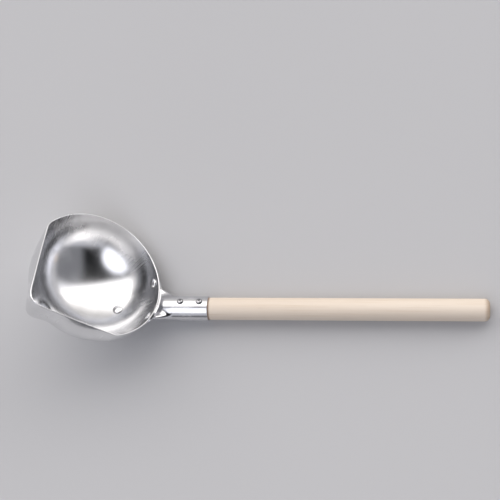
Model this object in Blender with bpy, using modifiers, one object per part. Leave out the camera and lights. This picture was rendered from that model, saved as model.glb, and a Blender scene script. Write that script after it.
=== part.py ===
"""Pouring ladle: a pressed aluminium bowl with a spout in its side, a metal socket riveted to the
bowl, and a round wooden handle that two screws hold in the socket.

The pieces are modelled upright, with the rim in the plane z = 0, the bowl's axis on z and the handle
rising towards +x. They hang on one empty, which then lays the ladle down as it rests on a table: on
the handle's butt, the socket's mouth and the side of the bowl."""

import math

import bmesh
import bpy
import numpy as np
from mathutils import Matrix, Vector

MM = 0.001

# Bowl, measured on its outer face
BOWL_RADIUS = 84.0 * MM
BOWL_DEPTH = 73.5 * MM
BOWL_SHEET = 1.5 * MM

# Spout: two flats run from the nose back to the round rim, each over its shoulder's angle, and fade
# into the round wall below the rim
SPOUT_AZIMUTH = math.radians(-136.4)
SPOUT_REACH = 96.2 * MM
SPOUT_LEFT_SHOULDER = math.radians(75.9)
SPOUT_RIGHT_SHOULDER = math.radians(73.4)
SPOUT_NOSE_BLEND = 43.0 * MM
SPOUT_SHOULDER_BLEND = 4.2 * MM
SPOUT_FLAT_DEPTH = 48.0 * MM
SPOUT_FLAT_FADE = 1.5
SPOUT_STEEPEST_COSINE = 0.1

# Ridge: below the nose the wall runs on as a straight rounded ridge, which ends at its depth
RIDGE_LEAN = math.radians(11.0)
RIDGE_WIDTH = math.radians(11.0)
RIDGE_DEPTH = 65.0 * MM
RIDGE_FADE = 6

# Handle axis: it leaves the rim's radius at this drop below the rim and rises from the rim plane
AXIS_DROP = 29.6 * MM
AXIS_RISE = math.radians(35.3)

# Wooden handle, with its ends measured along the axis from the rim's radius
HANDLE_RADIUS = 13.6 * MM
HANDLE_START = 20.0 * MM
HANDLE_BUTT = 414.5 * MM
HANDLE_BUTT_ROUNDING = 6.5 * MM
HANDLE_START_CHAMFER = 1.5 * MM

# Socket: a tube round the handle, whose foot flares into a plate on the bowl
SOCKET_WALL = 1.4 * MM
SOCKET_MOUTH = 75.0 * MM
SOCKET_MOUTH_CHAMFER = 0.5 * MM
FOOT_TOP = 32.0 * MM
FOOT_TIP = -25.0 * MM
FOOT_TIP_RADIUS = 4.0 * MM
WING_ROOT = 12.5 * MM
WING_HALF_WIDTH = 28.8 * MM
WING_LIFT = 13.4 * MM
WING_EDGE = 8
WING_SHARE_BELOW_AXIS = 0.6
PLATE_THICKNESS = 2.2 * MM
PLATE_TOP_DROP = 0.8 * MM
PLATE_TOP_HALF_WIDTH = 12.0 * MM
PLATE_HALF_WIDTH = 33.0 * MM
PLATE_LOBE_MARGIN = 7.0 * MM
PLATE_TIP_HALF_WIDTH = 9.0 * MM
PLATE_TIP_MARGIN = 8.0 * MM
PLATE_TIP_ROUNDING = 0.6

# Rivets through the plate and the bowl
RIVET_SHANK_RADIUS = 2.5 * MM
RIVET_HEAD_RADIUS = 6.0 * MM
RIVET_HEAD_HEIGHT = 2.0 * MM
RIVET_TAIL_RADIUS = 4.2 * MM
RIVET_TAIL_HEIGHT = 2.0 * MM
RIVET_UPPER_AZIMUTH = math.radians(17.7)
RIVET_UPPER_DROP = 11.7 * MM
RIVET_LOWER_DROP = 56.6 * MM

# Wood screws through the top of the socket into the handle, spaced back from the socket's mouth
SCREW_MOUTH_INSET = 10.2 * MM
SCREW_SPACING = 23.4 * MM
SCREW_HEAD_RADIUS = 3.9 * MM
SCREW_HEAD_HEIGHT = 2.2 * MM
SCREW_SHANK_RADIUS = 1.7 * MM
SCREW_LENGTH = 16.0 * MM
SCREW_POINT = 3.5 * MM
RECESS_SPAN = 4.0 * MM
RECESS_WIDTH = 0.9 * MM
RECESS_DEPTH = 1.2 * MM

# Clearances between neighbouring pieces
SEAT_GAP = 0.3 * MM
FIT_GAP = 0.3 * MM

# Facets, and how far a cutter runs past what it cuts
BOWL_SIDES = 96
BOWL_RINGS = 14
TUBE_SIDES = 40
SMALL_SIDES = 20
ARC_STEPS = 5
MERGE_DISTANCE = 0.00001
OVERRUN = 5.0 * MM
BISECT_STEPS = 60

SOCKET_RADIUS = HANDLE_RADIUS + FIT_GAP + SOCKET_WALL
AXIS_ORIGIN = Vector((BOWL_RADIUS, 0.0, -AXIS_DROP))
AXIS_TURN = Matrix.Rotation(math.pi / 2 - AXIS_RISE, 4, "Y")


def clear_scene():
    for obj in list(bpy.data.objects):
        bpy.data.objects.remove(obj, do_unlink=True)


def new_collection(name):
    collection = bpy.data.collections.new(name)
    bpy.context.scene.collection.children.link(collection)
    return collection


def add_object(name, mesh, collection, place=Matrix.Identity(4)):
    obj = bpy.data.objects.new(name, mesh)
    obj.matrix_world = place
    collection.objects.link(obj)
    return obj


def baked_mesh(obj):
    """The object's mesh with its modifiers applied. The object itself is removed."""
    bpy.context.view_layer.update()
    evaluated = obj.evaluated_get(bpy.context.evaluated_depsgraph_get())
    mesh = bpy.data.meshes.new_from_object(evaluated)
    bpy.data.objects.remove(obj, do_unlink=True)
    return mesh


def turned(name, profile, sides, collection, place=Matrix.Identity(4)):
    """A profile of (radius, height) points, top to bottom, turned round the z axis."""
    mesh = bpy.data.meshes.new(name)
    points = [(radius, 0.0, height) for radius, height in profile]
    mesh.from_pydata(points, [(i, i + 1) for i in range(len(points) - 1)], [])
    obj = add_object(name, mesh, collection, place)
    screw = obj.modifiers.new("turn", "SCREW")
    screw.steps = sides
    screw.render_steps = sides
    screw.use_merge_vertices = True
    screw.merge_threshold = MERGE_DISTANCE
    screw.use_smooth_shade = True
    return obj


def cut(obj, cutter, operation="DIFFERENCE"):
    """Cut one piece with another that isn't shown, or join the two."""
    boolean = obj.modifiers.new(operation.lower(), "BOOLEAN")
    boolean.operation = operation
    boolean.object = cutter
    boolean.solver = "EXACT"
    cutter.hide_render = True
    cutter.display_type = "WIRE"


def paint(obj, name, colour, roughness, metallic):
    material = bpy.data.materials.new(name)
    material.use_nodes = True
    shader = material.node_tree.nodes["Principled BSDF"]
    shader.inputs["Base Color"].default_value = (*colour, 1.0)
    shader.inputs["Roughness"].default_value = roughness
    shader.inputs["Metallic"].default_value = metallic
    obj.data.materials.clear()
    obj.data.materials.append(material)


def arc(centre, radius, start, end):
    """Points of (radius, height) on a quarter turn or less, from one angle to another."""
    angles = np.linspace(start, end, ARC_STEPS + 1)
    return [(centre[0] + radius * math.cos(a), centre[1] + radius * math.sin(a)) for a in angles]


def soft_min(a, b, blend):
    """The smaller of two lengths, rounded off where they are closer than the blend."""
    near = max(blend - abs(a - b), 0.0) / blend
    return min(a, b) - near ** 3 * blend / 6


def spout_flat(angle, shoulder):
    """The distance from the bowl's axis to the line from the nose to a shoulder."""
    apex = SPOUT_REACH + SPOUT_NOSE_BLEND / 6
    across = BOWL_RADIUS * math.sin(shoulder)
    along = apex - BOWL_RADIUS * math.cos(shoulder)
    lean = math.atan2(along, across)
    return apex * math.cos(lean) / max(math.cos(angle - lean), SPOUT_STEEPEST_COSINE)


def rim_radius(turn):
    """The rim's outline by its angle from the spout: a circle, and two flats that meet in a rounded
    nose."""
    angle = abs(turn)
    near, far = SPOUT_LEFT_SHOULDER, SPOUT_RIGHT_SHOULDER
    if turn > 0.0:
        near, far = far, near
    radius = soft_min(spout_flat(angle, near), spout_flat(-angle, far), SPOUT_NOSE_BLEND)
    if angle > near / 2:
        radius = soft_min(BOWL_RADIUS, radius, SPOUT_SHOULDER_BLEND)
    return radius


def pressed(point):
    """Where a point of the round bowl lies once the spout is pressed into it."""
    azimuth = math.atan2(point.y, point.x)
    turn = math.remainder(azimuth - SPOUT_AZIMUTH, math.tau)
    flat_share = max(1.0 + point.z / SPOUT_FLAT_DEPTH, 0.0) ** SPOUT_FLAT_FADE
    ridge_share = max(1.0 - (point.z / RIDGE_DEPTH) ** RIDGE_FADE, 0.0) ** 2
    ridge_line = SPOUT_REACH + point.z * math.tan(RIDGE_LEAN)
    ridge = (ridge_line - math.hypot(point.x, point.y)) * math.exp(-(turn / RIDGE_WIDTH) ** 2)
    shift = flat_share * (rim_radius(turn) - BOWL_RADIUS) + (1.0 - flat_share) * ridge_share * ridge
    return point + shift * Vector((math.cos(azimuth), math.sin(azimuth), 0.0))


def wall_slope(drop):
    """The angle along the bowl's elliptical wall at a drop below the rim."""
    return math.asin(drop / BOWL_DEPTH)


def wall_place(azimuth, drop):
    """A frame on the bowl's outer wall, with its z axis pointing straight out of the wall."""
    slope = wall_slope(drop)
    radius = BOWL_RADIUS * math.cos(slope)
    point = Vector((radius * math.cos(azimuth), radius * math.sin(azimuth), -drop))
    outward = Vector((BOWL_DEPTH * math.cos(slope), 0.0, -BOWL_RADIUS * math.sin(slope)))
    tilt = Matrix.Rotation(math.atan2(outward.x, outward.z), 4, "Y")
    return Matrix.Translation(point) @ Matrix.Rotation(azimuth, 4, "Z") @ tilt


def axis_place(distance):
    """A frame on the handle's axis, with z along the handle and -x towards the socket's top."""
    return Matrix.Translation(AXIS_ORIGIN) @ AXIS_TURN @ Matrix.Translation((0.0, 0.0, distance))


RIVET_PLACES = {
    "socket_rivet_left": wall_place(-RIVET_UPPER_AZIMUTH, RIVET_UPPER_DROP),
    "socket_rivet_right": wall_place(RIVET_UPPER_AZIMUTH, RIVET_UPPER_DROP),
    "socket_rivet_lower": wall_place(0.0, RIVET_LOWER_DROP),
}


def screw_place(distance):
    """A frame on top of the socket, with its z axis pointing out of the tube."""
    seat = Matrix.Translation((-SOCKET_RADIUS - SEAT_GAP, 0.0, 0.0))
    return axis_place(distance) @ seat @ Matrix.Rotation(-math.pi / 2, 4, "Y")


SCREW_PLACES = {
    "handle_screw_front": screw_place(SOCKET_MOUTH - SCREW_MOUTH_INSET - SCREW_SPACING),
    "handle_screw_rear": screw_place(SOCKET_MOUTH - SCREW_MOUTH_INSET),
}


def shank_hole(name, radius, length, place, cutters):
    """A cutter for a clearance hole, centred on a frame and running along its z axis."""
    bore = radius + FIT_GAP
    profile = [(0.0, OVERRUN), (bore, OVERRUN), (bore, -length), (0.0, -length)]
    return turned(name, profile, SMALL_SIDES, cutters, place)


def make_bowl(parts, rivet_holes):
    angles = np.linspace(0.0, math.pi / 2, BOWL_RINGS + 1)
    profile = [(BOWL_RADIUS * math.cos(a), -BOWL_DEPTH * math.sin(a)) for a in angles[:-1]]
    mesh = baked_mesh(turned("round_bowl", profile + [(0.0, -BOWL_DEPTH)], BOWL_SIDES, parts))
    for vertex in mesh.vertices:
        vertex.co = pressed(vertex.co)
    bowl = add_object("bowl", mesh, parts)
    sheet = bowl.modifiers.new("sheet", "SOLIDIFY")
    sheet.thickness = BOWL_SHEET
    sheet.offset = -1.0
    sheet.use_even_offset = True
    for hole in rivet_holes:
        cut(bowl, hole)
    paint(bowl, "bright_aluminium", (0.86, 0.86, 0.87), 0.22, 1.0)
    return bowl


def make_foot_and_tube(parts):
    """The socket's tube and its tapered foot, whose sides spread into two wings towards the bowl."""
    mouth = SOCKET_MOUTH - SOCKET_MOUTH_CHAMFER
    profile = [(0.0, SOCKET_MOUTH), (SOCKET_RADIUS - SOCKET_MOUTH_CHAMFER, SOCKET_MOUTH)]
    profile += [(SOCKET_RADIUS, mouth), (SOCKET_RADIUS, FOOT_TOP)]
    for share in np.linspace(0.0, 1.0, 2 * ARC_STEPS + 1)[1:]:
        radius = SOCKET_RADIUS + (FOOT_TIP_RADIUS - SOCKET_RADIUS) * share * share
        profile.append((radius, FOOT_TOP + (FOOT_TIP - FOOT_TOP) * share))
    profile.append((0.0, FOOT_TIP))
    mesh = baked_mesh(turned("socket_body", profile, TUBE_SIDES, parts))
    for vertex in mesh.vertices:
        vertex.co = spread_wing(vertex.co)
    return mesh


def spread_wing(point):
    """Where a point of the tapered foot lies once its sides are spread into the wings and its top is
    raised to the tube's."""
    share = min(max(FOOT_TOP - point.z, 0.0) / (FOOT_TOP - WING_ROOT), 1.0)
    reach = math.hypot(point.x, point.y)
    if share == 0.0 or reach == 0.0:
        return point
    height = min(max(WING_SHARE_BELOW_AXIS - point.x / reach, 0.0), 1.0)
    edge = abs(point.y / reach) ** WING_EDGE * share * height
    spread = math.copysign((WING_HALF_WIDTH - SOCKET_RADIUS) * edge, point.y)
    rise = WING_LIFT * edge + max(-point.x, 0.0) * (SOCKET_RADIUS / reach - 1.0)
    return point + Vector((-rise, spread, 0.0))


def plate_half_width(drop):
    """The plate's half width: it swells from the rim to a lobe round each upper rivet, and then narrows
    to the lower rivet."""
    waist = RIVET_UPPER_DROP + PLATE_LOBE_MARGIN
    if drop > RIVET_LOWER_DROP:
        inset = (drop - RIVET_LOWER_DROP) / PLATE_TIP_MARGIN
        return PLATE_TIP_HALF_WIDTH * (1.0 - PLATE_TIP_ROUNDING * inset ** 2)
    if drop > waist:
        share = (drop - waist) / (RIVET_LOWER_DROP - waist)
        return PLATE_HALF_WIDTH + (PLATE_TIP_HALF_WIDTH - PLATE_HALF_WIDTH) * math.sqrt(share)
    inset = max(RIVET_UPPER_DROP - drop, 0.0) / (RIVET_UPPER_DROP - PLATE_TOP_DROP)
    swell = math.sqrt(max(1.0 - inset ** 2, 0.0))
    return PLATE_TOP_HALF_WIDTH + (PLATE_HALF_WIDTH - PLATE_TOP_HALF_WIDTH) * swell


def make_plate(cutters):
    """The plate that hugs the bowl, started inside the wall and trimmed to it later."""
    top = wall_slope(PLATE_TOP_DROP)
    tip = wall_slope(RIVET_LOWER_DROP + PLATE_TIP_MARGIN)
    plate = bmesh.new()
    rows = []
    for slope in np.linspace(top, tip, BOWL_RINGS):
        drop = BOWL_DEPTH * math.sin(slope)
        reach = plate_half_width(drop) / (BOWL_RADIUS * math.cos(slope))
        row = [wall_place(a, drop).translation for a in np.linspace(-reach, reach, BOWL_RINGS)]
        rows.append([plate.verts.new(point) for point in row])
    for upper, lower in zip(rows, rows[1:]):
        for i in range(len(upper) - 1):
            plate.faces.new((upper[i], lower[i], lower[i + 1], upper[i + 1]))
    mesh = bpy.data.meshes.new("socket_plate")
    plate.to_mesh(mesh)
    plate.free()
    obj = add_object("socket_plate", mesh, cutters)
    thick = obj.modifiers.new("thick", "SOLIDIFY")
    thick.thickness = 2.0 * (SEAT_GAP + PLATE_THICKNESS)
    thick.offset = 0.0
    return obj


def make_bowl_envelope(cutters):
    """The bowl's outer wall with its seat gap, as the solid that trims the socket's foot."""
    radius = BOWL_RADIUS + SEAT_GAP
    depth = BOWL_DEPTH + SEAT_GAP
    angles = np.linspace(0.0, math.pi / 2, 2 * BOWL_RINGS + 1)
    profile = [(0.0, BOWL_RADIUS), (radius, BOWL_RADIUS)]
    profile += [(radius * math.cos(a), -depth * math.sin(a)) for a in angles[:-1]]
    return turned("bowl_envelope", profile + [(0.0, -depth)], BOWL_SIDES, cutters)


def make_socket(parts, cutters, rivet_holes, screw_holes):
    socket = add_object("handle_socket", make_foot_and_tube(parts), parts, axis_place(0.0))
    bore_end = HANDLE_START - SEAT_GAP
    bore_radius = HANDLE_RADIUS + FIT_GAP
    bore_top = SOCKET_MOUTH + OVERRUN
    bore_profile = [(0.0, bore_top), (bore_radius, bore_top), (bore_radius, bore_end), (0.0, bore_end)]
    bore = turned("socket_bore", bore_profile, TUBE_SIDES, cutters, axis_place(0.0))
    cut(socket, make_plate(cutters), "UNION")
    cut(socket, make_bowl_envelope(cutters))
    cut(socket, bore)
    for hole in rivet_holes + screw_holes:
        cut(socket, hole)
    paint(socket, "socket_metal", (0.78, 0.78, 0.80), 0.3, 1.0)
    return socket


def make_handle(parts, screw_holes):
    edge = HANDLE_BUTT - HANDLE_BUTT_ROUNDING
    profile = [(0.0, HANDLE_BUTT)]
    centre = (HANDLE_RADIUS - HANDLE_BUTT_ROUNDING, edge)
    profile += arc(centre, HANDLE_BUTT_ROUNDING, math.pi / 2, 0.0)
    profile.append((HANDLE_RADIUS, HANDLE_START + HANDLE_START_CHAMFER))
    profile.append((HANDLE_RADIUS - HANDLE_START_CHAMFER, HANDLE_START))
    profile.append((0.0, HANDLE_START))
    handle = turned("handle", profile, TUBE_SIDES, parts, axis_place(0.0))
    for hole in screw_holes:
        cut(handle, hole)
    paint(handle, "pale_wood", (0.80, 0.68, 0.50), 0.55, 0.0)
    return handle


def dome(radius, height, base):
    """Points down a shallow dome, from its crown to its edge."""
    angles = np.linspace(math.pi / 2, 0.0, ARC_STEPS + 1)
    return [(radius * math.cos(a), base + height * math.sin(a)) for a in angles]


def make_rivet(name, place, parts):
    """A rivet with its formed tail outside on the plate and its low domed head inside the bowl."""
    seat = SEAT_GAP + PLATE_THICKNESS + SEAT_GAP
    sag = RIVET_HEAD_RADIUS ** 2 * BOWL_RADIUS / (2 * BOWL_DEPTH ** 2)
    head = -BOWL_SHEET - SEAT_GAP - sag
    profile = dome(RIVET_TAIL_RADIUS, RIVET_TAIL_HEIGHT, seat)
    profile += [(RIVET_SHANK_RADIUS, seat), (RIVET_SHANK_RADIUS, head)]
    profile += [(radius, 2 * head - height) for radius, height in
                reversed(dome(RIVET_HEAD_RADIUS, RIVET_HEAD_HEIGHT, head))]
    rivet = turned(name, profile, SMALL_SIDES, parts, place)
    paint(rivet, name + "_aluminium", (0.84, 0.84, 0.85), 0.3, 1.0)
    return rivet


def make_recess_bar(name, turn, place, cutters):
    """One bar of a screw's cross recess."""
    cube = bmesh.new()
    bmesh.ops.create_cube(cube, size=1.0)
    bar = Matrix.Diagonal((RECESS_SPAN, RECESS_WIDTH, 2.0 * RECESS_DEPTH, 1.0))
    lift = Matrix.Translation((0.0, 0.0, SCREW_HEAD_HEIGHT))
    cube.transform(lift @ Matrix.Rotation(turn, 4, "Z") @ bar)
    mesh = bpy.data.meshes.new(name)
    cube.to_mesh(mesh)
    cube.free()
    return add_object(name, mesh, cutters, place)


def make_screw(name, place, parts, cutters):
    """A pan-head wood screw with a cross recess. Its head's underside is at its own z = 0."""
    profile = dome(SCREW_HEAD_RADIUS, SCREW_HEAD_HEIGHT, 0.0)
    profile += [(SCREW_SHANK_RADIUS, 0.0), (SCREW_SHANK_RADIUS, SCREW_POINT - SCREW_LENGTH)]
    profile.append((0.0, -SCREW_LENGTH))
    screw = turned(name, profile, SMALL_SIDES, parts, place)
    for number, turn in enumerate((math.pi / 4, -math.pi / 4)):
        cut(screw, make_recess_bar(f"{name}_recess_{number}", turn, place, cutters))
    paint(screw, name + "_steel", (0.70, 0.70, 0.72), 0.25, 1.0)
    return screw


def corners(objects):
    """The points of some pieces, before the ladle is laid down."""
    bpy.context.view_layer.update()
    depsgraph = bpy.context.evaluated_depsgraph_get()
    points = []
    for obj in objects:
        mesh = obj.evaluated_get(depsgraph).to_mesh()
        points += [obj.matrix_world @ vertex.co for vertex in mesh.vertices]
    return np.array(points)


def bisect(difference, low, high):
    """The angle between two bounds where a falling difference crosses zero."""
    for _ in range(BISECT_STEPS):
        middle = (low + high) / 2
        if difference(middle) > 0.0:
            low = middle
        else:
            high = middle
    return (low + high) / 2


def lay_down(root, bowl, others):
    """Rest the ladle on the handle's butt, the socket's mouth and the bowl's side, where the handle
    lies lower than the bowl, or else on the handle's butt and the bowl's bottom."""
    bowl_points = corners([bowl])
    other_points = corners(others)
    butt_contact = HANDLE_BUTT - HANDLE_BUTT_ROUNDING
    slope = math.atan2(SOCKET_RADIUS - HANDLE_RADIUS, butt_contact - SOCKET_MOUTH)

    def turn(pitch, roll):
        return Matrix.Rotation(-roll, 3, "X") @ Matrix.Rotation(pitch, 3, "Y")

    def bowl_clearance(pitch, roll):
        down = np.array(turn(pitch, roll))[2]
        return (bowl_points @ down).min() - (other_points @ down).min()

    pitch = AXIS_RISE + slope
    roll = 0.0
    if bowl_clearance(pitch, 0.0) > 0.0:
        roll = bisect(lambda angle: bowl_clearance(pitch, angle), 0.0, math.pi / 2)
    else:
        pitch = bisect(lambda angle: -bowl_clearance(angle, 0.0), pitch, pitch + math.pi / 4)
    rest = turn(pitch, roll)
    points = np.vstack((bowl_points, other_points)) @ np.array(rest).T
    low, high = points.min(axis=0), points.max(axis=0)
    middle = (low + high) / 2
    root.matrix_world = Matrix.Translation((-middle[0], -middle[1], -low[2])) @ rest.to_4x4()


def main():
    clear_scene()
    parts = new_collection("pouring_ladle")
    cutters = new_collection("ladle_cutters")
    rivet_holes = [
        shank_hole(f"{name}_hole", RIVET_SHANK_RADIUS, OVERRUN, place, cutters)
        for name, place in RIVET_PLACES.items()
    ]
    screw_holes = [
        shank_hole(f"{name}_hole", SCREW_SHANK_RADIUS, SCREW_LENGTH + FIT_GAP, place, cutters)
        for name, place in SCREW_PLACES.items()
    ]
    bowl = make_bowl(parts, rivet_holes)
    others = [make_socket(parts, cutters, rivet_holes, screw_holes), make_handle(parts, screw_holes)]
    others += [make_rivet(name, place, parts) for name, place in RIVET_PLACES.items()]
    others += [make_screw(name, place, parts, cutters) for name, place in SCREW_PLACES.items()]
    root = bpy.data.objects.new("ladle", None)
    parts.objects.link(root)
    for obj in [bowl] + others + list(cutters.objects):
        obj.parent = root
    lay_down(root, bowl, others)


main()
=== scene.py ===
"""Looks of the pouring ladle: finer pieces over its solids, procedural materials, a pale floor and soft
light. Each piece is made in the ladle's own frame, with the bowl's rim in the plane z = 0 and the
handle rising towards +x, and is laid down as the solids lie."""

import math

import bmesh
import bpy
import numpy as np
from mathutils import Matrix, Vector


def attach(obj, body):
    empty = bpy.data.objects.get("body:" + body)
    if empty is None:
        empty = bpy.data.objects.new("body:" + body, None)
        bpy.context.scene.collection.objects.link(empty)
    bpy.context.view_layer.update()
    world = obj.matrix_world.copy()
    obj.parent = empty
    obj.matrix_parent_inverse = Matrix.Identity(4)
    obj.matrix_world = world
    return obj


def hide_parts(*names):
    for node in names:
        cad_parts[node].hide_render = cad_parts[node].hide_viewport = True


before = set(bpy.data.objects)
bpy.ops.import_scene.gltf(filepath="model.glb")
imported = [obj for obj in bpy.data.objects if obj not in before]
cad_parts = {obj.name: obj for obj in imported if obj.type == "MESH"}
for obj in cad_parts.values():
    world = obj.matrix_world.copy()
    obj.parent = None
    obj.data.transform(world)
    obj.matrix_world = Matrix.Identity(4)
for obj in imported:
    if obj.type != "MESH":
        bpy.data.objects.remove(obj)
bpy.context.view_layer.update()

MM = 0.001

# Bowl
BOWL_RADIUS = 84.0 * MM
BOWL_DEPTH = 73.5 * MM
BOWL_SHEET = 1.5 * MM
RIM_ROUNDING = 0.6 * MM
SPOUT_AZIMUTH = math.radians(-136.4)
SPOUT_REACH = 96.2 * MM
SPOUT_LEFT_SHOULDER = math.radians(75.9)
SPOUT_RIGHT_SHOULDER = math.radians(73.4)
SPOUT_NOSE_BLEND = 43.0 * MM
SPOUT_SHOULDER_BLEND = 4.2 * MM
SPOUT_FLAT_DEPTH = 48.0 * MM
SPOUT_FLAT_FADE = 1.5
SPOUT_STEEPEST_COSINE = 0.1
RIDGE_LEAN = math.radians(11.0)
RIDGE_WIDTH = math.radians(11.0)
RIDGE_DEPTH = 65.0 * MM
RIDGE_FADE = 6

# Handle and socket, along the handle's axis
AXIS_DROP = 29.6 * MM
AXIS_RISE = math.radians(35.3)
HANDLE_RADIUS = 13.6 * MM
HANDLE_START = 20.0 * MM
HANDLE_BUTT = 414.5 * MM
HANDLE_BUTT_ROUNDING = 6.5 * MM
SOCKET_WALL = 1.4 * MM
SOCKET_MOUTH = 75.0 * MM
SOCKET_MOUTH_ROUNDING = 0.5 * MM
FOOT_TOP = 32.0 * MM
FOOT_TIP = -25.0 * MM
FOOT_TIP_RADIUS = 4.0 * MM
WING_ROOT = 12.5 * MM
WING_HALF_WIDTH = 28.8 * MM
WING_LIFT = 13.4 * MM
WING_EDGE = 8
WING_SHARE_BELOW_AXIS = 0.6
PLATE_THICKNESS = 2.2 * MM
PLATE_TOP_DROP = 0.8 * MM
PLATE_TOP_HALF_WIDTH = 12.0 * MM
PLATE_HALF_WIDTH = 33.0 * MM
PLATE_LOBE_MARGIN = 7.0 * MM
PLATE_TIP_HALF_WIDTH = 9.0 * MM
PLATE_TIP_MARGIN = 8.0 * MM
PLATE_TIP_ROUNDING = 0.6

# Rivets and screws
RIVET_SHANK_RADIUS = 2.5 * MM
RIVET_HEAD_RADIUS = 6.0 * MM
RIVET_HEAD_HEIGHT = 2.0 * MM
RIVET_TAIL_RADIUS = 4.2 * MM
RIVET_TAIL_HEIGHT = 2.0 * MM
RIVET_UPPER_AZIMUTH = math.radians(17.7)
RIVET_UPPER_DROP = 11.7 * MM
RIVET_LOWER_DROP = 56.6 * MM
SCREW_MOUTH_INSET = 10.2 * MM
SCREW_SPACING = 23.4 * MM
SCREW_HEAD_RADIUS = 3.9 * MM
SCREW_HEAD_HEIGHT = 2.2 * MM
SCREW_SHANK_RADIUS = 1.7 * MM
SCREW_LENGTH = 16.0 * MM
SCREW_POINT = 3.5 * MM
RECESS_SPAN = 4.0 * MM
RECESS_WIDTH = 0.9 * MM
RECESS_DEPTH = 1.2 * MM

# Gaps between pieces
SEAT_GAP = 0.3 * MM
FIT_GAP = 0.3 * MM
OVERRUN = 5.0 * MM

# Fineness
BOWL_SIDES = 384
BOWL_RINGS = 110
RIM_STEPS = 8
TUBE_SIDES = 160
FOOT_RINGS = 60
PLATE_ROWS = 60
SMALL_SIDES = 64
ARC_STEPS = 10
MERGE_DISTANCE = 0.00001
SHARP_ANGLE = math.radians(32.0)

# Metals. Noise varies each of them between two tones and between two values of roughness, its gloss.
# Scales of noise are per metre.
BOWL_TONES = ((0.78, 0.78, 0.79, 1.0), (0.86, 0.86, 0.87, 1.0))
BOWL_GLOSS = (0.16, 0.22)
BOWL_HAIRLINES = (800.0, 800.0, 22.0)
SOCKET_TONES = ((0.68, 0.68, 0.70, 1.0), (0.78, 0.78, 0.80, 1.0))
SOCKET_GLOSS = (0.16, 0.26)
SOCKET_HAIRLINES = (900.0, 900.0, 20.0)
RIVET_TONES = ((0.76, 0.76, 0.77, 1.0), (0.85, 0.85, 0.86, 1.0))
SCREW_TONES = ((0.42, 0.42, 0.44, 1.0), (0.52, 0.52, 0.54, 1.0))
FASTENER_GLOSS = (0.16, 0.26)
METAL_CLOUD = (40.0, 40.0, 40.0)
FASTENER_CLOUD = (900.0, 900.0, 900.0)
CLOUD_DETAIL = 3.0
CLOUD_RANGE = (0.3, 0.7)

# Hairlines, which fade towards the bowl's bottom, and the matte wall below the rim's far side
HAIRLINE_DETAIL = 2.0
HAIRLINE_RANGE = (0.5, 0.75)
HAIRLINE_ROUGHNESS = 0.08
HAIRLINE_STRENGTH = 0.12
HAIRLINE_HEIGHT = 0.1 * MM
HAIRLINE_FADE = (-68.0 * MM, -35.0 * MM)
MATTE_RISE = (-42.0 * MM, -12.0 * MM)
MATTE_SIDE = (40.0 * MM, 80.0 * MM)
MATTE_ROUGHNESS = 0.14

# Painted shade at the edge of a head, by its width and share, and painted shade in a recess
RIVET_EDGE_SHADE = (0.7 * MM, 0.35)
SCREW_EDGE_SHADE = (1.3 * MM, 0.95)
RECESS_EDGE = 0.2 * MM
RECESS_SHADE = 0.9
PAINTED_SHADE_TONE = (0.10, 0.10, 0.105, 1.0)

# Wood
WOOD_TONES = ((0.74, 0.635, 0.53, 1.0), (0.79, 0.69, 0.585, 1.0))
WOOD_GLOSS = (0.48, 0.62)
WOOD_GLOSS_RANGE = (0.3, 0.8)
WOOD_BROAD = (60.0, 60.0, 4.0)
WOOD_GRAIN = (500.0, 500.0, 9.0)
WOOD_PORES = (1400.0, 1400.0, 40.0)
GRAIN_DETAIL = 5.0
GRAIN_RANGE = (0.5, 0.75)
GRAIN_TONE = (0.60, 0.45, 0.31, 1.0)
GRAIN_SHARE = 0.35
PORE_DETAIL = 3.0
PORE_RANGE = (0.6, 0.8)
PORE_TONE = (0.50, 0.36, 0.24, 1.0)
PORE_SHARE = 0.4
PORE_STRENGTH = 0.15
PORE_HEIGHT = 0.2 * MM
# Darker end grain together with painted shade towards the butt's rounding, which faces away from the light
BUTT_GRAIN_AND_SHADE_TONE = (0.46, 0.33, 0.22, 1.0)
BUTT_GRAIN_AND_SHADE_SHARE = 0.75
BUTT_GRAIN_AND_SHADE_SPAN = (HANDLE_BUTT - 8.0 * MM, HANDLE_BUTT - 1.0 * MM)
# Painted contact shade with some grime on the wood next to the socket's mouth
MOUTH_SHADE_AND_GRIME_TONE = (0.22, 0.13, 0.08, 1.0)
MOUTH_SHADE_AND_GRIME_SHARE = 0.8
MOUTH_SHADE_AND_GRIME_SPAN = (SOCKET_MOUTH + 0.7 * MM, SOCKET_MOUTH + 2.8 * MM)

# Floor
FLOOR_HALF_WIDTH = 4.0
FLOOR_TONES = ((0.50, 0.50, 0.51, 1.0), (0.53, 0.53, 0.54, 1.0))
FLOOR_CLOUD = (1.5, 1.5, 1.5)
FLOOR_DETAIL = 2.0
FLOOR_ROUGHNESS = 0.9

# Light by direction, in degrees from straight up towards +x (right) and +y (far)
PANEL_EDGE = 17.5
PANEL_SLANT = 0.25
PANEL_SOFTNESS = (7.0, 30.0)
PANEL_SOFTENING = (45.0, 90.0)
PANEL_STRENGTH = 2.25
PANEL_FALL = (45.0, 80.0)
PANEL_LOW_SHARE = 0.3
LAMP_RIGHT = -12.0
LAMP_FAR = -22.0
LAMP_RADII = (20.0, 30.0)
LAMP_STRENGTH = 1.8
RIGHT_WALL = (38.0, 52.0)
RIGHT_STRENGTH = 0.26
CEILING_STRENGTH = 0.01
NEAR_WALL = (-36.0, -48.0)
NEAR_STRENGTH = 0.65
NEAR_FALL = (-60.0, -85.0)
NEAR_LOW_SHARE = 0.2
LEFT_WALL = (-34.0, -50.0)
LEFT_STRENGTH = 0.1
COOL_TINT = (0.92, 0.93, 1.0, 1.0)
WARM_TINT = (1.0, 0.97, 0.95, 1.0)
SMALLEST_SINE = 0.0001

# How the ladle lies on the table
REST_PITCH = math.radians(35.592)
REST_ROLL = math.radians(29.867)
RIM_CENTRE = Vector((-0.192812, 0.002282, 0.078880))

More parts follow.
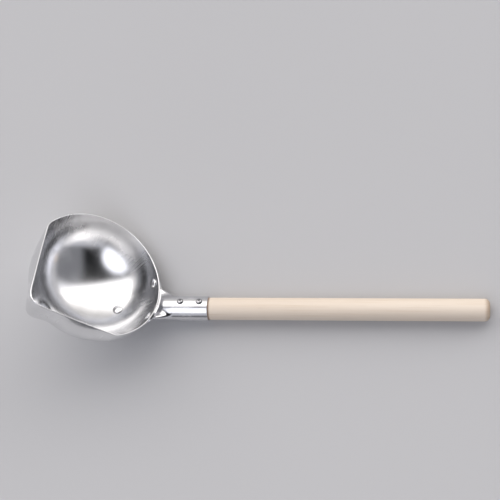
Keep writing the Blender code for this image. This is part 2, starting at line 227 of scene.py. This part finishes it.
# Camera, as the photograph was taken
CAMERA_PLACE = Vector((0.2566, -0.1834, 1.7167))
CAMERA_RIGHT = Vector((0.98751, 0.01567, -0.15679))
CAMERA_UP = Vector((0.00464, 0.99172, 0.12833))
CAMERA_LENS = 102.06
CAMERA_SENSOR = 36.0

SOCKET_RADIUS = HANDLE_RADIUS + FIT_GAP + SOCKET_WALL
SCREW_REAR = SOCKET_MOUTH - SCREW_MOUTH_INSET
LADLE = (Matrix.Translation(RIM_CENTRE) @ Matrix.Rotation(-REST_ROLL, 4, "X")
         @ Matrix.Rotation(REST_PITCH, 4, "Y"))
AXIS = (Matrix.Translation((BOWL_RADIUS, 0.0, -AXIS_DROP))
        @ Matrix.Rotation(math.pi / 2 - AXIS_RISE, 4, "Y"))
HAIRLINE_TURN = Matrix.Rotation(math.radians(-5.0), 4, "Z")


# Shapes shared with the solids

def soft_min(a, b, blend):
    """The smaller of two lengths, rounded off where they are less than a blend apart."""
    near = max(blend - abs(a - b), 0.0) / blend
    return min(a, b) - near ** 3 * blend / 6


def spout_flat(angle, shoulder):
    """The distance from the bowl's axis to the line from the nose to a shoulder."""
    apex = SPOUT_REACH + SPOUT_NOSE_BLEND / 6
    across = BOWL_RADIUS * math.sin(shoulder)
    along = apex - BOWL_RADIUS * math.cos(shoulder)
    lean = math.atan2(along, across)
    return apex * math.cos(lean) / max(math.cos(angle - lean), SPOUT_STEEPEST_COSINE)


def rim_radius(turn):
    """The rim's outline by its angle from the spout."""
    angle = abs(turn)
    near, far = SPOUT_LEFT_SHOULDER, SPOUT_RIGHT_SHOULDER
    if turn > 0.0:
        near, far = far, near
    radius = soft_min(spout_flat(angle, near), spout_flat(-angle, far), SPOUT_NOSE_BLEND)
    if angle > near / 2:
        radius = soft_min(BOWL_RADIUS, radius, SPOUT_SHOULDER_BLEND)
    return radius


def pressed(slope, azimuth):
    """A point of the bowl's outer wall, by its angle down the wall and round the bowl."""
    radius = BOWL_RADIUS * math.cos(slope)
    height = -BOWL_DEPTH * math.sin(slope)
    turn = math.remainder(azimuth - SPOUT_AZIMUTH, math.tau)
    flat_share = max(1.0 + height / SPOUT_FLAT_DEPTH, 0.0) ** SPOUT_FLAT_FADE
    ridge_share = max(1.0 - (height / RIDGE_DEPTH) ** RIDGE_FADE, 0.0) ** 2
    ridge_line = SPOUT_REACH + height * math.tan(RIDGE_LEAN)
    ridge = (ridge_line - radius) * math.exp(-(turn / RIDGE_WIDTH) ** 2)
    radius += flat_share * (rim_radius(turn) - BOWL_RADIUS) + (1.0 - flat_share) * ridge_share * ridge
    return Vector((radius * math.cos(azimuth), radius * math.sin(azimuth), height))


def wall_slope(drop):
    return math.asin(drop / BOWL_DEPTH)


def wall_place(azimuth, drop):
    """A frame on the bowl's outer wall, with its z axis pointing straight out of the wall."""
    slope = wall_slope(drop)
    radius = BOWL_RADIUS * math.cos(slope)
    point = Vector((radius * math.cos(azimuth), radius * math.sin(azimuth), -drop))
    tilt = math.atan2(BOWL_DEPTH * math.cos(slope), -BOWL_RADIUS * math.sin(slope))
    turn = Matrix.Rotation(azimuth, 4, "Z") @ Matrix.Rotation(tilt, 4, "Y")
    return Matrix.Translation(point) @ turn


def screw_place(distance):
    """A frame on top of the socket, with its z axis pointing out of the tube."""
    seat = Matrix.Translation((-SOCKET_RADIUS - SEAT_GAP, 0.0, distance))
    return AXIS @ seat @ Matrix.Rotation(-math.pi / 2, 4, "Y")


# Meshes

def add_object(name, data):
    obj = bpy.data.objects.new(name, data)
    bpy.context.scene.collection.objects.link(obj)
    return obj


def add_piece(name, mesh, place):
    """An object at the frame's origin, with the mesh itself moved to its place."""
    mesh.transform(place)
    return add_object(name, mesh)


def mesh_of(name, verts, faces):
    mesh = bpy.data.meshes.new(name)
    mesh.from_pydata(verts, [], faces)
    mesh.validate()
    return mesh


def tidy_normals(mesh):
    """Merge doubled points and turn every face outwards."""
    shape = bmesh.new()
    shape.from_mesh(mesh)
    bmesh.ops.remove_doubles(shape, verts=shape.verts, dist=MERGE_DISTANCE)
    bmesh.ops.recalc_face_normals(shape, faces=shape.faces)
    shape.to_mesh(mesh)
    shape.free()


def smooth(mesh):
    """Smooth shading that keeps sharp edges."""
    mesh.shade_smooth()
    mesh.set_sharp_from_angle(angle=SHARP_ANGLE)


def turned(name, profile, sides):
    """A closed mesh: (radius, height) points, top to bottom, turned round the z axis."""
    angles = np.linspace(0.0, math.tau, sides, endpoint=False)
    verts = [(r * math.cos(a), r * math.sin(a), h) for r, h in profile for a in angles]
    faces = []
    for row in range(len(profile) - 1):
        for i in range(sides):
            j = (i + 1) % sides
            faces.append((row * sides + i, (row + 1) * sides + i,
                          (row + 1) * sides + j, row * sides + j))
    mesh = mesh_of(name, verts, faces)
    tidy_normals(mesh)
    return mesh


def arc(centre, radius, start, end):
    """Points along an arc, as (radius, height)."""
    angles = np.linspace(start, end, ARC_STEPS + 1)
    return [(centre[0] + radius * math.cos(a), centre[1] + radius * math.sin(a)) for a in angles]


def dome(radius, height, base):
    """Points down a shallow dome, from its crown to its edge."""
    angles = np.linspace(math.pi / 2, 0.0, ARC_STEPS + 1)
    return [(radius * math.cos(a), base + height * math.sin(a)) for a in angles]


def carve(obj, cutter, operation="DIFFERENCE"):
    """Cut one piece with another, or join the two, and remove the other."""
    boolean = obj.modifiers.new(operation.lower(), "BOOLEAN")
    boolean.operation = operation
    boolean.object = cutter
    boolean.solver = "EXACT"
    bpy.context.view_layer.update()
    evaluated = obj.evaluated_get(bpy.context.evaluated_depsgraph_get())
    mesh = bpy.data.meshes.new_from_object(evaluated)
    obj.modifiers.clear()
    obj.data = mesh
    bpy.data.objects.remove(cutter, do_unlink=True)


# Pieces

def make_bowl():
    """The pressed sheet: an outer wall, an inner wall one sheet inside it and a rounded rim."""
    slopes = np.linspace(RIM_ROUNDING / BOWL_DEPTH, math.pi / 2, BOWL_RINGS + 1)[:-1]
    turns = np.linspace(0.0, math.tau, BOWL_SIDES, endpoint=False)
    outer = np.array([[pressed(s, a) for a in turns] for s in slopes])
    down = np.gradient(outer, axis=0)
    around = np.roll(outer, -1, axis=1) - np.roll(outer, 1, axis=1)
    out = np.cross(down, around)
    out /= np.linalg.norm(out, axis=2, keepdims=True)
    inner = outer - BOWL_SHEET * out
    middle = (outer[0] + inner[0]) / 2
    half = (outer[0] - inner[0]) / 2
    rows = list(inner[::-1])
    for turn in np.linspace(math.pi, 0.0, RIM_STEPS + 1)[1:-1]:
        lift = np.array((0.0, 0.0, RIM_ROUNDING * math.sin(turn)))
        rows.append(middle + half * math.cos(turn) + lift)
    rows += list(outer)
    verts = [tuple(p) for row in rows for p in row]
    faces = []
    for row in range(len(rows) - 1):
        for i in range(BOWL_SIDES):
            j = (i + 1) % BOWL_SIDES
            faces.append((row * BOWL_SIDES + i, row * BOWL_SIDES + j,
                          (row + 1) * BOWL_SIDES + j, (row + 1) * BOWL_SIDES + i))
    for row, depth in ((0, BOWL_DEPTH - BOWL_SHEET), (len(rows) - 1, BOWL_DEPTH)):
        pole = len(verts)
        verts.append((0.0, 0.0, -depth))
        for i in range(BOWL_SIDES):
            faces.append((row * BOWL_SIDES + i, row * BOWL_SIDES + (i + 1) % BOWL_SIDES, pole))
    mesh = mesh_of("fine_bowl", verts, faces)
    tidy_normals(mesh)
    mesh.shade_smooth()
    return add_piece("fine_bowl", mesh, LADLE)


def spread_wing(point):
    """Where a point of the tapered foot lies once its sides are spread into the wings and its top is
    raised to the tube's."""
    share = min(max(FOOT_TOP - point.z, 0.0) / (FOOT_TOP - WING_ROOT), 1.0)
    reach = math.hypot(point.x, point.y)
    if share == 0.0 or reach == 0.0:
        return point
    height = min(max(WING_SHARE_BELOW_AXIS - point.x / reach, 0.0), 1.0)
    edge = abs(point.y / reach) ** WING_EDGE * share * height
    spread = math.copysign((WING_HALF_WIDTH - SOCKET_RADIUS) * edge, point.y)
    rise = WING_LIFT * edge + max(-point.x, 0.0) * (SOCKET_RADIUS / reach - 1.0)
    return point + Vector((-rise, spread, 0.0))


def plate_half_width(drop):
    """Half of the plate's width, by the drop below the rim."""
    waist = RIVET_UPPER_DROP + PLATE_LOBE_MARGIN
    if drop > RIVET_LOWER_DROP:
        inset = (drop - RIVET_LOWER_DROP) / PLATE_TIP_MARGIN
        return PLATE_TIP_HALF_WIDTH * (1.0 - PLATE_TIP_ROUNDING * inset ** 2)
    if drop > waist:
        share = (drop - waist) / (RIVET_LOWER_DROP - waist)
        return PLATE_HALF_WIDTH + (PLATE_TIP_HALF_WIDTH - PLATE_HALF_WIDTH) * math.sqrt(share)
    inset = max(RIVET_UPPER_DROP - drop, 0.0) / (RIVET_UPPER_DROP - PLATE_TOP_DROP)
    swell = math.sqrt(max(1.0 - inset ** 2, 0.0))
    return PLATE_TOP_HALF_WIDTH + (PLATE_HALF_WIDTH - PLATE_TOP_HALF_WIDTH) * swell


def make_plate():
    """The plate that hugs the bowl, started inside the wall and trimmed to it later."""
    top = wall_slope(PLATE_TOP_DROP)
    tip = wall_slope(RIVET_LOWER_DROP + PLATE_TIP_MARGIN)
    verts = []
    for slope in np.linspace(top, tip, PLATE_ROWS):
        drop = BOWL_DEPTH * math.sin(slope)
        reach = plate_half_width(drop) / (BOWL_RADIUS * math.cos(slope))
        verts += [wall_place(a, drop).translation for a in np.linspace(-reach, reach, PLATE_ROWS)]
    faces = []
    for row in range(PLATE_ROWS - 1):
        for i in range(row * PLATE_ROWS, (row + 1) * PLATE_ROWS - 1):
            faces.append((i, i + PLATE_ROWS, i + PLATE_ROWS + 1, i + 1))
    plate = add_piece("plate", mesh_of("plate", verts, faces), LADLE)
    thick = plate.modifiers.new("thick", "SOLIDIFY")
    thick.thickness = 2.0 * (SEAT_GAP + PLATE_THICKNESS)
    thick.offset = 0.0
    return plate


def make_socket():
    """The tube with its flared foot and wings, joined to the plate, trimmed to the bowl and bored."""
    mouth = (SOCKET_RADIUS - SOCKET_MOUTH_ROUNDING, SOCKET_MOUTH - SOCKET_MOUTH_ROUNDING)
    profile = [(0.0, SOCKET_MOUTH)] + arc(mouth, SOCKET_MOUTH_ROUNDING, math.pi / 2, 0.0)
    profile.append((SOCKET_RADIUS, FOOT_TOP))
    for share in np.linspace(0.0, 1.0, FOOT_RINGS + 1)[1:]:
        radius = SOCKET_RADIUS + (FOOT_TIP_RADIUS - SOCKET_RADIUS) * share * share
        profile.append((radius, FOOT_TOP + (FOOT_TIP - FOOT_TOP) * share))
    mesh = turned("fine_handle_socket", profile + [(0.0, FOOT_TIP)], TUBE_SIDES)
    for vertex in mesh.vertices:
        vertex.co = spread_wing(vertex.co)
    socket = add_piece("fine_handle_socket", mesh, LADLE @ AXIS)
    carve(socket, make_plate(), "UNION")
    radius = BOWL_RADIUS + SEAT_GAP
    depth = BOWL_DEPTH + SEAT_GAP
    angles = np.linspace(0.0, math.pi / 2, BOWL_RINGS + 1)
    wall = [(radius * math.cos(a), -depth * math.sin(a)) for a in angles[:-1]]
    wall = [(0.0, BOWL_RADIUS), (radius, BOWL_RADIUS)] + wall + [(0.0, -depth)]
    carve(socket, add_piece("envelope", turned("envelope", wall, BOWL_SIDES), LADLE))
    bore = HANDLE_RADIUS + FIT_GAP
    top, end = SOCKET_MOUTH + OVERRUN, HANDLE_START - SEAT_GAP
    hollow = turned("bore", [(0.0, top), (bore, top), (bore, end), (0.0, end)], TUBE_SIDES)
    carve(socket, add_piece("bore", hollow, LADLE @ AXIS))
    smooth(socket.data)
    return socket


def make_handle():
    """The round handle with its rounded butt."""
    edge = (HANDLE_RADIUS - HANDLE_BUTT_ROUNDING, HANDLE_BUTT - HANDLE_BUTT_ROUNDING)
    profile = [(0.0, HANDLE_BUTT)] + arc(edge, HANDLE_BUTT_ROUNDING, math.pi / 2, 0.0)
    profile += [(HANDLE_RADIUS, HANDLE_START), (0.0, HANDLE_START)]
    mesh = turned("fine_handle", profile, TUBE_SIDES)
    smooth(mesh)
    return add_piece("fine_handle", mesh, LADLE @ AXIS)


def make_rivet(name, place):
    """A rivet with its tail outside on the plate and its low domed head inside the bowl."""
    seat = SEAT_GAP + PLATE_THICKNESS + SEAT_GAP
    sag = RIVET_HEAD_RADIUS ** 2 * BOWL_RADIUS / (2 * BOWL_DEPTH ** 2)
    head = -BOWL_SHEET - SEAT_GAP - sag
    profile = dome(RIVET_TAIL_RADIUS, RIVET_TAIL_HEIGHT, seat)
    profile += [(RIVET_SHANK_RADIUS, seat), (RIVET_SHANK_RADIUS, head)]
    crown = dome(RIVET_HEAD_RADIUS, RIVET_HEAD_HEIGHT, head)
    profile += [(radius, 2 * head - height) for radius, height in reversed(crown)]
    mesh = turned(name, profile, SMALL_SIDES)
    smooth(mesh)
    return add_piece(name, mesh, LADLE @ place)


def make_screw(name, place):
    """A pan-head screw with a cross recess."""
    profile = dome(SCREW_HEAD_RADIUS, SCREW_HEAD_HEIGHT, 0.0)
    profile += [(SCREW_SHANK_RADIUS, 0.0), (SCREW_SHANK_RADIUS, SCREW_POINT - SCREW_LENGTH)]
    profile.append((0.0, -SCREW_LENGTH))
    screw = add_piece(name, turned(name, profile, SMALL_SIDES), LADLE @ place)
    for turn in (math.pi / 4, -math.pi / 4):
        shape = bmesh.new()
        bmesh.ops.create_cube(shape, size=1.0)
        bar = Matrix.Diagonal((RECESS_SPAN, RECESS_WIDTH, 2.0 * RECESS_DEPTH, 1.0))
        lift = Matrix.Translation((0.0, 0.0, SCREW_HEAD_HEIGHT))
        shape.transform(lift @ Matrix.Rotation(turn, 4, "Z") @ bar)
        mesh = bpy.data.meshes.new("recess_bar")
        shape.to_mesh(mesh)
        shape.free()
        carve(screw, add_piece("recess_bar", mesh, LADLE @ place))
    smooth(screw.data)
    return screw


# Materials and light

def node(tree, kind, inputs=None, **settings):
    """A node with its settings, and with values or other nodes' sockets on its inputs."""
    new = tree.nodes.new(kind)
    for key, value in settings.items():
        setattr(new, key, value)
    for key, value in (inputs or {}).items():
        if isinstance(value, bpy.types.NodeSocket):
            tree.links.new(value, new.inputs[key])
        else:
            new.inputs[key].default_value = value
    return new


def maths(tree, operation, *values):
    return node(tree, "ShaderNodeMath", dict(enumerate(values)), operation=operation).outputs[0]


def length(tree, a, b):
    """The length of a vector with two parts."""
    return maths(tree, "SQRT", maths(tree, "MULTIPLY_ADD", a, a, maths(tree, "MULTIPLY", b, b)))


def ramp(tree, value, low, high, start=0.0, end=1.0):
    """A smooth step from start to end as the value goes from low to high."""
    inputs = {"Value": value, "From Min": low, "From Max": high, "To Min": start, "To Max": end}
    return node(tree, "ShaderNodeMapRange", inputs, interpolation_type="SMOOTHSTEP").outputs[0]


def mix_colour(tree, share, first, second):
    """The first colour at share 0 and the second at 1. On a mix node, input 0 is the share and inputs
    6 and 7 are the colours."""
    inputs = {0: share, 6: first, 7: second}
    return node(tree, "ShaderNodeMix", inputs, data_type="RGBA").outputs[2]


def own_point(tree, place):
    """The shaded point in a frame of the ladle."""
    back = place.inverted()
    inputs = {"Vector": node(tree, "ShaderNodeTexCoord").outputs["Object"],
              "Location": back.translation, "Rotation": back.to_euler()}
    return node(tree, "ShaderNodeMapping", inputs).outputs[0]


def streaks(tree, point, scale, detail):
    """Noise drawn out along the axis with the smallest scale."""
    drawn = node(tree, "ShaderNodeVectorMath", {0: point, 1: scale}, operation="MULTIPLY")
    inputs = {"Vector": drawn.outputs[0], "Scale": 1.0, "Detail": detail}
    return node(tree, "ShaderNodeTexNoise", inputs).outputs[0]


def new_material(name, metallic):
    material = bpy.data.materials.new(name)
    material.use_nodes = True
    shader = material.node_tree.nodes["Principled BSDF"]
    shader.inputs["Metallic"].default_value = metallic
    return material, material.node_tree, shader


def roughen(tree, shader, strength, distance, height):
    """Set a fine relief on a shader."""
    inputs = {"Strength": strength, "Distance": distance, "Height": height}
    tree.links.new(node(tree, "ShaderNodeBump", inputs).outputs[0], shader.inputs["Normal"])


def metal(name, tones, gloss, hairlines, place, bowl=False):
    """Bright metal: cloudy tone, uneven gloss and fine hairlines along the axis with the smallest scale.
    In the bowl they run down the wall and fade towards the bottom, and the wall is matte below the
    far side of the rim."""
    material, tree, shader = new_material(name, 1.0)
    point = own_point(tree, place)
    cloud = ramp(tree, streaks(tree, point, METAL_CLOUD, CLOUD_DETAIL), *CLOUD_RANGE)
    drawn, fade, strength = point, 1.0, HAIRLINE_STRENGTH
    if bowl:
        x, y, z = node(tree, "ShaderNodeSeparateXYZ", {0: point}).outputs
        around = maths(tree, "MULTIPLY", maths(tree, "ARCTAN2", y, x), BOWL_RADIUS)
        drawn = node(tree, "ShaderNodeCombineXYZ", {0: around, 2: z}).outputs[0]
        fade = ramp(tree, z, *HAIRLINE_FADE)
        strength = maths(tree, "MULTIPLY", fade, HAIRLINE_STRENGTH)
    line = streaks(tree, drawn, hairlines, HAIRLINE_DETAIL)
    tree.links.new(mix_colour(tree, cloud, *tones), shader.inputs["Base Color"])
    rough = maths(tree, "MULTIPLY_ADD", ramp(tree, line, *HAIRLINE_RANGE, 0.0, HAIRLINE_ROUGHNESS), fade,
                  ramp(tree, cloud, 0.0, 1.0, *gloss))
    if bowl:
        high = ramp(tree, z, *MATTE_RISE, 0.0, MATTE_ROUGHNESS)
        rough = maths(tree, "MULTIPLY_ADD", high, ramp(tree, y, *MATTE_SIDE), rough)
    tree.links.new(rough, shader.inputs["Roughness"])
    roughen(tree, shader, strength, HAIRLINE_HEIGHT, line)
    return material


def fastener_metal(name, place, tones, rim, edge, recess_top=0.0):
    """Bright metal of a rivet or screw, with painted shade at the edge of its head and in its recess."""
    material, tree, shader = new_material(name, 1.0)
    point = own_point(tree, place)
    cloud = streaks(tree, point, FASTENER_CLOUD, CLOUD_DETAIL)
    x, y, z = node(tree, "ShaderNodeSeparateXYZ", {0: point}).outputs
    radius = length(tree, x, y)
    edge_width, edge_shade_share = edge
    # painted shade: a dark ring at the head's edge, standing for its steep side's dark reflection and
    # shade
    painted_shade = ramp(tree, radius, rim - edge_width, rim, 0.0, edge_shade_share)
    # painted shade down in the screw's cross recess
    if recess_top:
        deep = ramp(tree, z, recess_top - RECESS_DEPTH / 2, recess_top - RECESS_DEPTH / 4, 1.0, 0.0)
        reach = RECESS_SPAN / 2
        inside = ramp(tree, radius, reach, reach + RECESS_EDGE, RECESS_SHADE, 0.0)
        painted_shade = maths(tree, "MAXIMUM", painted_shade, maths(tree, "MULTIPLY", deep, inside))
    tone = mix_colour(tree, ramp(tree, cloud, *CLOUD_RANGE), *tones)
    tree.links.new(mix_colour(tree, painted_shade, tone, PAINTED_SHADE_TONE), shader.inputs["Base Color"])
    tree.links.new(ramp(tree, cloud, *CLOUD_RANGE, *FASTENER_GLOSS), shader.inputs["Roughness"])
    return material


def wood(name):
    """Pale sanded wood with a faint lengthwise grain, darker in its pores, darker on the end grain with
    painted shade towards the butt, and with painted contact shade and grime at the socket's mouth."""
    material, tree, shader = new_material(name, 0.0)
    point = own_point(tree, LADLE @ AXIS)
    broad = streaks(tree, point, WOOD_BROAD, CLOUD_DETAIL)
    grain = streaks(tree, point, WOOD_GRAIN, GRAIN_DETAIL)
    pores = streaks(tree, point, WOOD_PORES, PORE_DETAIL)
    along = node(tree, "ShaderNodeSeparateXYZ", {0: point}).outputs[2]
    tone = mix_colour(tree, ramp(tree, broad, *CLOUD_RANGE), *WOOD_TONES)
    tone = mix_colour(tree, ramp(tree, grain, *GRAIN_RANGE, 0.0, GRAIN_SHARE), tone, GRAIN_TONE)
    tone = mix_colour(tree, ramp(tree, pores, *PORE_RANGE, 0.0, PORE_SHARE), tone, PORE_TONE)
    # darker end grain with painted shade towards the butt
    tone = mix_colour(tree, ramp(tree, along, *BUTT_GRAIN_AND_SHADE_SPAN, 0.0, BUTT_GRAIN_AND_SHADE_SHARE), tone, BUTT_GRAIN_AND_SHADE_TONE)
    # painted contact shade and grime on the wood next to the socket's mouth
    tone = mix_colour(tree, ramp(tree, along, *MOUTH_SHADE_AND_GRIME_SPAN, MOUTH_SHADE_AND_GRIME_SHARE, 0.0), tone, MOUTH_SHADE_AND_GRIME_TONE)
    tree.links.new(tone, shader.inputs["Base Color"])
    tree.links.new(ramp(tree, grain, *WOOD_GLOSS_RANGE, *WOOD_GLOSS), shader.inputs["Roughness"])
    roughen(tree, shader, PORE_STRENGTH, PORE_HEIGHT, pores)
    return material


def floor_material():
    material, tree, shader = new_material("floor", 0.0)
    point = node(tree, "ShaderNodeTexCoord").outputs["Object"]
    tone = mix_colour(tree, streaks(tree, point, FLOOR_CLOUD, FLOOR_DETAIL), *FLOOR_TONES)
    tree.links.new(tone, shader.inputs["Base Color"])
    shader.inputs["Roughness"].default_value = FLOOR_ROUGHNESS
    return material


def light_room():
    """A studio seen by its light: a wide soft panel on the far side, a small one overhead, a dim
    ceiling between them and paler walls."""
    world = bpy.data.worlds.new("studio")
    world.use_nodes = True
    tree = world.node_tree
    tree.nodes.clear()
    direction = node(tree, "ShaderNodeTexCoord").outputs["Generated"]
    x, y, z = node(tree, "ShaderNodeSeparateXYZ", {0: direction}).outputs
    zenith = maths(tree, "DEGREES", maths(tree, "ARCCOSINE", z))
    sine = maths(tree, "SQRT", maths(tree, "SUBTRACT", 1.0, maths(tree, "MULTIPLY", z, z)))
    sine = maths(tree, "MAXIMUM", sine, SMALLEST_SINE)
    right = maths(tree, "DIVIDE", maths(tree, "MULTIPLY", zenith, x), sine)
    far = maths(tree, "DIVIDE", maths(tree, "MULTIPLY", zenith, y), sine)
    edge = maths(tree, "SUBTRACT", far, maths(tree, "MULTIPLY_ADD", right, PANEL_SLANT, PANEL_EDGE))
    edge = maths(tree, "DIVIDE", edge, ramp(tree, right, *PANEL_SOFTENING, *PANEL_SOFTNESS))
    panel = maths(tree, "MULTIPLY", ramp(tree, edge, -1.0, 1.0, 0.0, PANEL_STRENGTH),
                  ramp(tree, far, *PANEL_FALL, 1.0, PANEL_LOW_SHARE))
    away = length(tree, maths(tree, "SUBTRACT", right, LAMP_RIGHT), maths(tree, "SUBTRACT", far, LAMP_FAR))
    near = maths(tree, "MULTIPLY", ramp(tree, far, *NEAR_WALL, 0.0, NEAR_STRENGTH),
                 ramp(tree, far, *NEAR_FALL, 1.0, NEAR_LOW_SHARE))
    light = panel
    for other in (ramp(tree, away, *LAMP_RADII, LAMP_STRENGTH, 0.0),
                  ramp(tree, right, *RIGHT_WALL, CEILING_STRENGTH, RIGHT_STRENGTH),
                  near,
                  ramp(tree, right, *LEFT_WALL, 0.0, LEFT_STRENGTH)):
        light = maths(tree, "MAXIMUM", light, other)
    tint = mix_colour(tree, ramp(tree, edge, -1.0, 1.0), COOL_TINT, WARM_TINT)
    shine = node(tree, "ShaderNodeBackground", {"Color": tint, "Strength": light})
    output = node(tree, "ShaderNodeOutputWorld")
    tree.links.new(shine.outputs[0], output.inputs[0])
    bpy.context.scene.world = world


def add_camera():
    data = bpy.data.cameras.new("camera")
    data.lens = CAMERA_LENS
    data.sensor_width = CAMERA_SENSOR
    back = CAMERA_RIGHT.cross(CAMERA_UP)
    turn = Matrix((CAMERA_RIGHT, CAMERA_UP, back)).transposed().to_4x4()
    camera = add_object("camera", data)
    camera.matrix_world = Matrix.Translation(CAMERA_PLACE) @ turn
    bpy.context.scene.camera = camera


def add_floor():
    half = FLOOR_HALF_WIDTH
    corners = [(-half, -half, 0.0), (half, -half, 0.0), (half, half, 0.0), (-half, half, 0.0)]
    floor = add_object("floor", mesh_of("floor", corners, [(0, 1, 2, 3)]))
    floor.data.materials.append(floor_material())


def dress(obj, node_name, material):
    """A finished piece: its material, the body it rides on and the solid that it stands for."""
    obj.data.materials.clear()
    obj.data.materials.append(material)
    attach(obj, "root")
    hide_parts(node_name)


def main():
    bowl_metal = metal("bright_aluminium", BOWL_TONES, BOWL_GLOSS, BOWL_HAIRLINES, LADLE @ HAIRLINE_TURN,
                       bowl=True)
    socket_metal = metal("polished_socket", SOCKET_TONES, SOCKET_GLOSS, SOCKET_HAIRLINES, LADLE @ AXIS)
    dress(make_bowl(), "bowl", bowl_metal)
    dress(make_socket(), "handle_socket", socket_metal)
    dress(make_handle(), "handle", wood("pale_wood"))
    rivets = {
        "socket_rivet_left": wall_place(-RIVET_UPPER_AZIMUTH, RIVET_UPPER_DROP),
        "socket_rivet_right": wall_place(RIVET_UPPER_AZIMUTH, RIVET_UPPER_DROP),
        "socket_rivet_lower": wall_place(0.0, RIVET_LOWER_DROP),
    }
    for name, place in rivets.items():
        material = fastener_metal(name, LADLE @ place, RIVET_TONES, RIVET_HEAD_RADIUS, RIVET_EDGE_SHADE)
        dress(make_rivet("fine_" + name, place), name, material)
    screws = {"handle_screw_front": screw_place(SCREW_REAR - SCREW_SPACING),
              "handle_screw_rear": screw_place(SCREW_REAR)}
    for name, place in screws.items():
        material = fastener_metal(name, LADLE @ place, SCREW_TONES, SCREW_HEAD_RADIUS, SCREW_EDGE_SHADE,
                                  SCREW_HEAD_HEIGHT)
        dress(make_screw("fine_" + name, place), name, material)
    add_floor()
    light_room()
    add_camera()
    bpy.context.scene.view_settings.view_transform = "Standard"


main()
